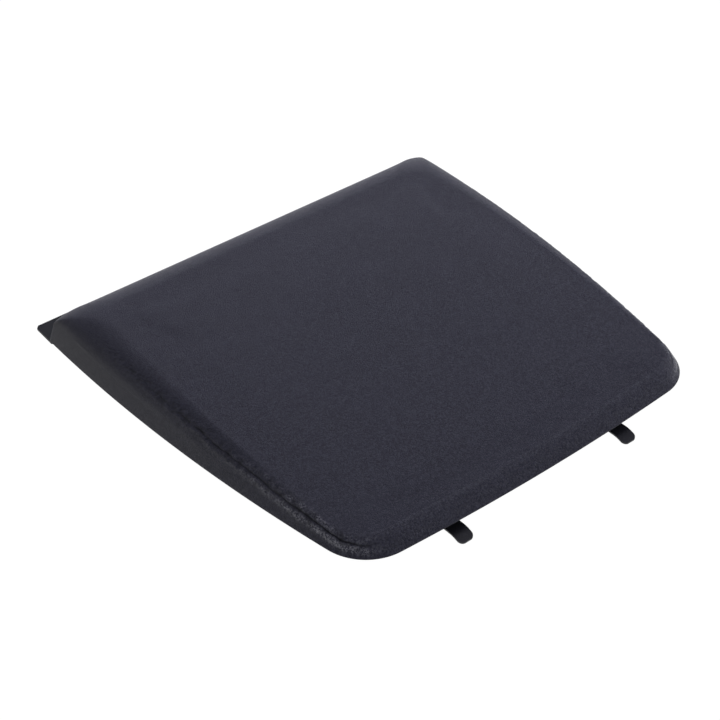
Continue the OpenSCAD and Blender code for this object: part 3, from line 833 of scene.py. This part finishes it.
dress(["base_plate"],
      plastic("base_plastic", (0.0085, 0.0095, 0.0095), (0.0115, 0.0125, 0.0125), 0.5, 0.2))
dress(["carrier_shell"], plastic("carrier_plastic", (0.045, 0.047, 0.05), (0.055, 0.057, 0.06), 0.5))
dress(["left_tongue_keeper", "right_tongue_keeper"],
      plastic("keeper_plastic", (0.08, 0.08, 0.085), (0.1, 0.1, 0.105), 0.42))
dress(["left_hook_tongue", "right_hook_tongue"], coated_steel())
dress(["base_screws", "tongue_keeper_screws"],
      metal("screw_steel", (0.55, 0.56, 0.57), (0.38, 0.38, 0.36), 0.3))
dress(["hem_staples"], metal("staple_steel", (0.62, 0.62, 0.62), (0.42, 0.41, 0.4), 0.34))
dress(["rear_inserts"], metal("insert_brass", (0.72, 0.53, 0.24), (0.45, 0.31, 0.14), 0.28))
dress([n for n in NODES if n.endswith("_foot")], rubber())

# ---------------------------------------------------------------- floor, light and camera


def make_floor():
    size = 300.0
    mesh = bpy.data.meshes.new("floor")
    corners = [(-size, -size, 0), (size, -size, 0), (size, size, 0), (-size, size, 0)]
    mesh.from_pydata(corners, [], [(0, 1, 2, 3)])
    floor = bpy.data.objects.new("floor", mesh)
    bpy.context.scene.collection.objects.link(floor)
    m = Nodes("floor_white")
    m.set(Base_Color=(0.05, 0.05, 0.05, 1), Roughness=1.0, Specular_IOR_Level=0.0,
          Emission_Color=(1, 1, 1, 1), Emission_Strength=1.0)
    mesh.materials.append(m.material)


def make_world():
    """A pale backdrop behind the object, a soft overhead, and a dimmer room in front."""
    world = bpy.data.worlds.new("studio")
    bpy.context.scene.world = world
    world.use_nodes = True
    tree = world.node_tree
    tree.nodes.clear()
    coordinates = tree.nodes.new("ShaderNodeTexCoord")
    split = tree.nodes.new("ShaderNodeSeparateXYZ")
    tree.links.new(coordinates.outputs["Generated"], split.inputs[0])

    height = split.outputs["Z"]
    back = colour_ramp(tree, height, [
        (0.0, (0.84, 0.84, 1.0)), (0.2, (0.76, 0.76, 0.96)), (0.33, (0.36, 0.36, 0.47)),
        (0.45, (0.15, 0.15, 0.2)), (0.56, (0.048, 0.048, 0.064)), (0.67, (0.026, 0.026, 0.035)),
        (0.85, (0.07, 0.07, 0.092)), (1.0, (0.14, 0.14, 0.18))])
    front = colour_ramp(tree, height, [
        (0.0, (0.05, 0.05, 0.054)), (0.35, (0.072, 0.072, 0.088)), (0.7, (0.115, 0.115, 0.143)),
        (1.0, (0.14, 0.14, 0.18))])
    facing = tree.nodes.new("ShaderNodeVectorMath")
    facing.operation = "DOT_PRODUCT"
    bright_side = math.radians(60)                           # from the wide end towards the right
    facing.inputs[1].default_value = (math.sin(bright_side), math.cos(bright_side), 0)
    tree.links.new(coordinates.outputs["Generated"], facing.inputs[0])
    share = tree.nodes.new("ShaderNodeMapRange")
    share.interpolation_type = "SMOOTHSTEP"
    share.inputs["From Min"].default_value = -0.35
    share.inputs["From Max"].default_value = 0.9
    tree.links.new(facing.outputs["Value"], share.inputs["Value"])
    both = tree.nodes.new("ShaderNodeMix")
    both.data_type = "RGBA"
    tree.links.new(share.outputs["Result"], both.inputs["Factor"])
    tree.links.new(front, both.inputs[MIX_A])
    tree.links.new(back, both.inputs[MIX_B])
    background = tree.nodes.new("ShaderNodeBackground")
    background.inputs["Strength"].default_value = 2.7
    tree.links.new(both.outputs[MIX_RESULT], background.inputs["Color"])
    out = tree.nodes.new("ShaderNodeOutputWorld")
    tree.links.new(background.outputs[0], out.inputs[0])


def soft_light(name, place, size, power, colour=(1, 1, 1)):
    """A square panel of soft light that faces the pad."""
    data = bpy.data.lights.new(name, "AREA")
    data.size, data.energy, data.color = size, power, colour
    light = bpy.data.objects.new(name, data)
    light.location = place
    light.rotation_mode = "QUATERNION"
    light.rotation_quaternion = (-Vector(place)).to_track_quat("-Z", "Y")
    bpy.context.scene.collection.objects.link(light)


def make_camera():
    """The photographer's place: left of the narrow end, 37 degrees above the pad."""
    azimuth, elevation = math.radians(-40.158), math.radians(37.206)
    target, distance = Vector((0, -0.00195, 0.0235)), 0.83905
    back = Vector((math.sin(azimuth) * math.cos(elevation),
                   -math.cos(azimuth) * math.cos(elevation), math.sin(elevation)))
    data = bpy.data.cameras.new("camera")
    data.lens, data.sensor_width = 87.66, 36
    data.shift_x, data.shift_y = -0.0269, -0.0371
    data.clip_start, data.clip_end = 0.01, 1000
    camera = bpy.data.objects.new("camera", data)
    camera.location = target + back * distance
    camera.rotation_mode = "QUATERNION"
    camera.rotation_quaternion = (-back).to_track_quat("-Z", "Y")
    bpy.context.scene.collection.objects.link(camera)
    bpy.context.scene.camera = camera


make_floor()
make_world()
soft_light("overhead", (0.35, 0.5, 1.5), 1.2, 6)
make_camera()
bpy.context.scene.view_settings.view_transform = "Standard"
